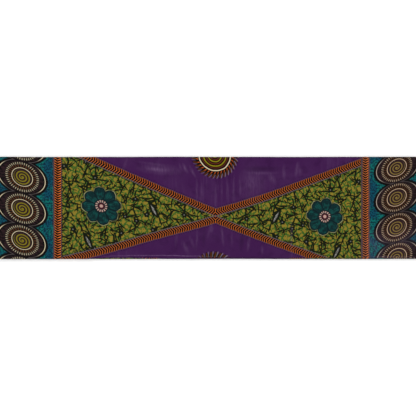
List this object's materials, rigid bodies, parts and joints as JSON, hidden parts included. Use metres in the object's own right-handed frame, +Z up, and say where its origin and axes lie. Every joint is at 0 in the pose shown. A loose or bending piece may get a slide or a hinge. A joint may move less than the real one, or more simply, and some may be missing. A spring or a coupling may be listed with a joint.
{
  "type": "folded length of wax print fabric",
  "caption": "Uncut length of wax print cotton, folded to and fro into a long flat pack that lies on a table, its plies showing at the edges.",
  "frame": {"origin": "on the table, under the middle of the pack's box", "axes": "+X along the folds, from one selvedge to the other; +Y from the front folds to the back folds; +Z up"},
  "size_m": [1.19, 0.283, 0.0165],
  "materials": {
    "printed_face": "glazed wax print cotton, plain weave, purple ground with orange, green and teal",
    "printed_fold": "glazed wax print cotton, plain weave, at a fold",
    "ply_edges": "edges of stacked wax print cotton",
    "printed_under": "glazed wax print cotton, plain weave, lying face down"
  },
  "bodies": {
    "root": {"top_ply": "printed_face", "lower_fold": "printed_fold", "hidden_plies": "ply_edges", "bottom_ply": "printed_under"}
  },
  "joints": []
}
